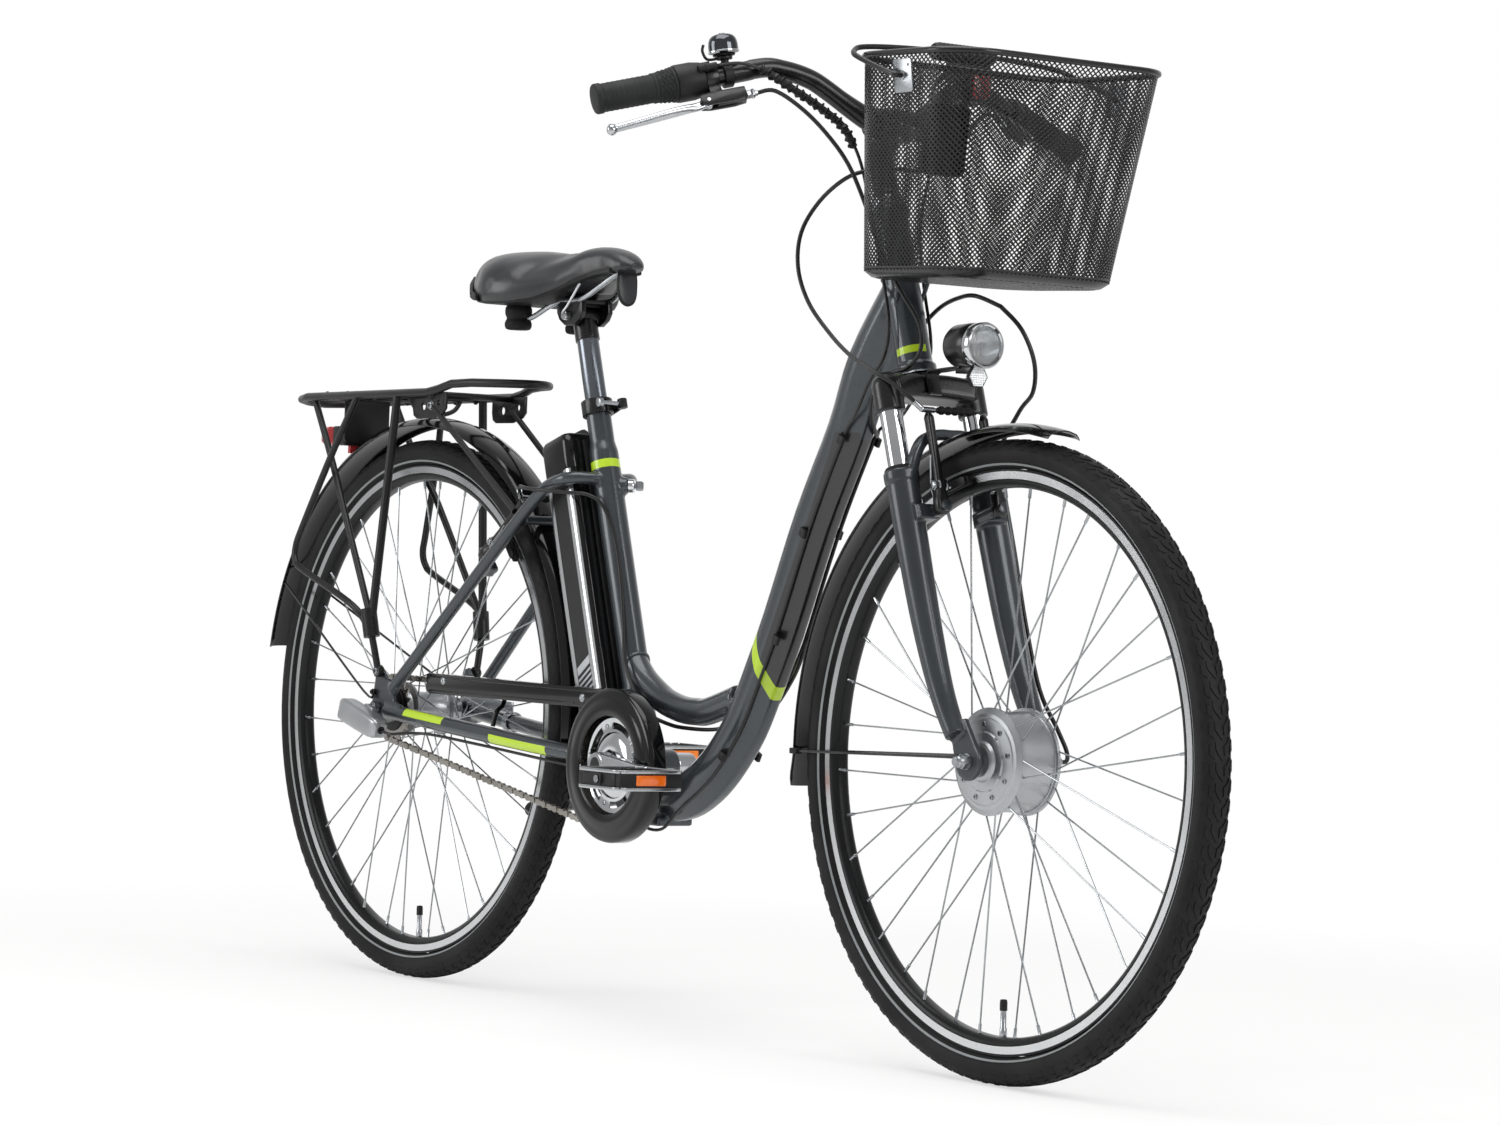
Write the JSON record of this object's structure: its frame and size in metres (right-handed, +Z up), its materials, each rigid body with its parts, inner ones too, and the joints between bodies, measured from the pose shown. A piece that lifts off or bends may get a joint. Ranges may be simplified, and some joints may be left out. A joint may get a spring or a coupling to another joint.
{
  "type": "electric city bicycle",
  "caption": "Low-entry electric city bicycle with front hub motor, seat-tube battery, wire basket, rear rack, mudguards and chainguard.",
  "frame": {"origin": "centre of the bounding box, on the ground between the two wheels", "axes": "+X forward along the bicycle, +Y to the rider's left, +Z up; both wheels stand on z = 0"},
  "size_m": [1.9248, 0.6906, 1.1398],
  "materials": {
    "graphite paint": "satin",
    "black metal": "satin",
    "black gloss": "gloss",
    "black plastic": "matte",
    "silver alloy": "satin",
    "chrome": "polished",
    "steel": "brushed",
    "rubber": "matte",
    "tyre": "matte",
    "cable": "satin",
    "saddle cover": "matte",
    "red lens": "gloss"
  },
  "bodies": {
    "frame": {"frame": "graphite paint", "seat_clamp": "black metal", "rear_fender": "black gloss", "rear_rack": "black metal", "rear_light": "red lens", "chain": "steel", "chainguard": "black gloss", "battery_dock": "black plastic", "rear_axle": "steel", "rear_brake_cable": "cable", "gear_cable": "cable", "control_cable": "cable"},
    "steering": {"fork_crown": "black metal", "stem": "black metal", "handlebar": "black metal", "right_grip": "rubber", "left_grip": "rubber", "shifter_housing": "black plastic", "bell": "chrome", "right_lever_mount": "black metal", "left_lever_mount": "black metal", "control_unit": "black plastic", "basket": "black metal", "basket_holder": "black plastic", "headlight": "black plastic", "front_brake_cable": "cable", "motor_cable": "cable"},
    "fork_lowers": {"fork_lowers": "black metal", "front_fender": "black gloss", "front_axle": "steel"},
    "front_wheel": {"front_tyre": "tyre", "front_rim": "black metal", "hub_motor": "silver alloy"},
    "rear_wheel": {"rear_tyre": "tyre", "rear_rim": "black metal", "rear_hub": "silver alloy"},
    "sprocket": {"sprocket": "steel"},
    "cranks": {"right_crank": "silver alloy", "left_crank": "silver alloy", "chainring": "silver alloy"},
    "right_pedal": {"right_pedal": "black plastic"},
    "left_pedal": {"left_pedal": "black plastic"},
    "right_brake_lever": {"right_brake_lever": "silver alloy"},
    "left_brake_lever": {"left_brake_lever": "silver alloy"},
    "twist_shifter": {"twist_shifter": "rubber"},
    "bell_lever": {"bell_lever": "black plastic"},
    "front_brake_arm_right": {"front_brake_arm_right": "black metal"},
    "front_brake_arm_left": {"front_brake_arm_left": "black metal"},
    "rear_brake_arm_right": {"rear_brake_arm_right": "black metal"},
    "rear_brake_arm_left": {"rear_brake_arm_left": "black metal"},
    "seatpost": {"seatpost": "silver alloy"},
    "saddle": {"saddle": "saddle cover", "saddle_clamp": "steel"},
    "saddle_lever": {"saddle_lever": "steel"},
    "clamp_lever": {"clamp_lever": "black metal"},
    "battery": {"battery": "black plastic"},
    "battery_lock": {"battery_lock": "steel"},
    "kickstand": {"kickstand": "black metal"},
    "basket_handle": {"basket_handle": "black metal"},
    "control_button": {"control_button": "red lens"}
  },
  "joints": [
    {"name": "steering", "type": "hinge", "parent": "frame", "child": "steering", "pos_m": [0.42472, 0, 0.77832], "axis": [-0.3173, 0, 0.9483], "range_deg": [-60, 60], "deforming": ["rear_brake_cable", "gear_cable", "control_cable"]},
    {"name": "fork_travel", "type": "slide", "parent": "steering", "child": "fork_lowers", "axis": [-0.3173, 0, 0.9483], "range_m": [0, 0.03], "stiffness_N_per_m": 8000, "springref_m": -0.02, "deforming": ["front_brake_cable", "motor_cable"]},
    {"name": "front_wheel_spin", "type": "hinge", "parent": "fork_lowers", "child": "front_wheel", "pos_m": [0.6134, 0, 0.349], "axis": [0, 1, 0], "continuous": true},
    {"name": "rear_wheel_spin", "type": "hinge", "parent": "frame", "child": "rear_wheel", "pos_m": [-0.59061, 0, 0.349], "axis": [0, 1, 0], "continuous": true},
    {"name": "crank_spin", "type": "hinge", "parent": "frame", "child": "cranks", "pos_m": [-0.07061, 0, 0.305], "axis": [0, 1, 0], "continuous": true},
    {"name": "sprocket_spin", "type": "hinge", "parent": "frame", "child": "sprocket", "pos_m": [-0.59061, 0, 0.349], "axis": [0, 1, 0], "continuous": true},
    {"name": "right_pedal_spin", "type": "hinge", "parent": "cranks", "child": "right_pedal", "pos_m": [0.09929, -0.14, 0.29907], "axis": [0, 1, 0], "continuous": true},
    {"name": "left_pedal_spin", "type": "hinge", "parent": "cranks", "child": "left_pedal", "pos_m": [-0.2405, 0.14, 0.31093], "axis": [0, 1, 0], "continuous": true},
    {"name": "right_brake_pull", "type": "hinge", "parent": "steering", "child": "right_brake_lever", "pos_m": [0.3249, -0.2257, 1.0575], "axis": [-0.7648, 0.3834, -0.5177], "range_deg": [0, 9.5], "stiffness_Nm_per_rad": 4, "springref_deg": -17.19},
    {"name": "left_brake_pull", "type": "hinge", "parent": "steering", "child": "left_brake_lever", "pos_m": [0.3249, 0.2257, 1.0575], "axis": [0.7648, 0.3834, 0.5177], "range_deg": [0, 9.5], "stiffness_Nm_per_rad": 4, "springref_deg": -17.19},
    {"name": "front_brake_left", "type": "hinge", "parent": "fork_lowers", "child": "front_brake_arm_left", "pos_m": [0.48279, 0.04, 0.60477], "axis": [0.9483, 0, 0.3173], "range_deg": [0, 3.5]},
    {"name": "front_brake_right", "type": "hinge", "parent": "fork_lowers", "child": "front_brake_arm_right", "pos_m": [0.48279, -0.04, 0.60477], "axis": [-0.9483, 0, -0.3173], "range_deg": [0, 3.5]},
    {"name": "rear_brake_left", "type": "hinge", "parent": "frame", "child": "rear_brake_arm_left", "pos_m": [-0.37397, 0.04, 0.5311], "axis": [0.6435, 0, -0.7655], "range_deg": [0, 3.5]},
    {"name": "rear_brake_right", "type": "hinge", "parent": "frame", "child": "rear_brake_arm_right", "pos_m": [-0.37397, -0.04, 0.5311], "axis": [-0.6435, 0, 0.7655], "range_deg": [0, 3.5]},
    {"name": "gear_twist", "type": "hinge", "parent": "steering", "child": "twist_shifter", "pos_m": [0.29422, -0.26339, 1.07501], "axis": [-0.2993, -0.9231, -0.2416], "range_deg": [0, 80]},
    {"name": "bell_ring", "type": "hinge", "parent": "steering", "child": "bell_lever", "pos_m": [0.31413, -0.19847, 1.11105], "axis": [-0.0998, -0.1197, 0.9878], "range_deg": [0, 25], "stiffness_Nm_per_rad": 0.2, "springref_deg": -11.46},
    {"name": "basket_handle_lift", "type": "hinge", "parent": "steering", "child": "basket_handle", "pos_m": [0.57739, 0, 1.079], "axis": [0, 1, 0], "range_deg": [0, 120]},
    {"name": "control_press", "type": "slide", "parent": "steering", "child": "control_button", "axis": [-1, 0, 0], "range_m": [0, 0.0015], "stiffness_N_per_m": 300, "springref_m": -0.002},
    {"name": "seat_height", "type": "slide", "parent": "frame", "child": "seatpost", "axis": [-0.309, 0, 0.9511], "range_m": [-0.07, 0.06]},
    {"name": "saddle_tilt", "type": "hinge", "parent": "seatpost", "child": "saddle", "pos_m": [-0.24767, 0, 0.84996], "axis": [0, 1, 0], "range_deg": [-10, 10]},
    {"name": "saddle_release", "type": "hinge", "parent": "saddle", "child": "saddle_lever", "pos_m": [-0.24767, -0.0233, 0.84996], "axis": [0, 1, 0], "range_deg": [0, 70]},
    {"name": "seat_clamp_release", "type": "hinge", "parent": "frame", "child": "clamp_lever", "pos_m": [-0.18935, 0.0223, 0.74326], "axis": [0.309, 0, -0.9511], "range_deg": [0, 150]},
    {"name": "battery_slide", "type": "slide", "parent": "frame", "child": "battery", "axis": [-0.309, 0, 0.9511], "range_m": [0, 0.11]},
    {"name": "battery_lock_turn", "type": "hinge", "parent": "frame", "child": "battery_lock", "pos_m": [-0.16265, 0.01785, 0.64215], "axis": [0.7001, 0.7141, 0], "range_deg": [0, 90]},
    {"name": "kickstand_swing", "type": "hinge", "parent": "frame", "child": "kickstand", "pos_m": [-0.1546, 0.05, 0.262], "axis": [-0.0297, -0.8403, -0.5413], "range_deg": [0, 86]}
  ],
  "couplings": [
    {"joint": "sprocket_spin", "follows": "crank_spin", "ratio": 1.9926},
    {"joint": "front_brake_left", "follows": "left_brake_pull", "ratio": 0.35},
    {"joint": "front_brake_right", "follows": "left_brake_pull", "ratio": 0.35},
    {"joint": "rear_brake_left", "follows": "right_brake_pull", "ratio": 0.35},
    {"joint": "rear_brake_right", "follows": "right_brake_pull", "ratio": 0.35}
  ]
}
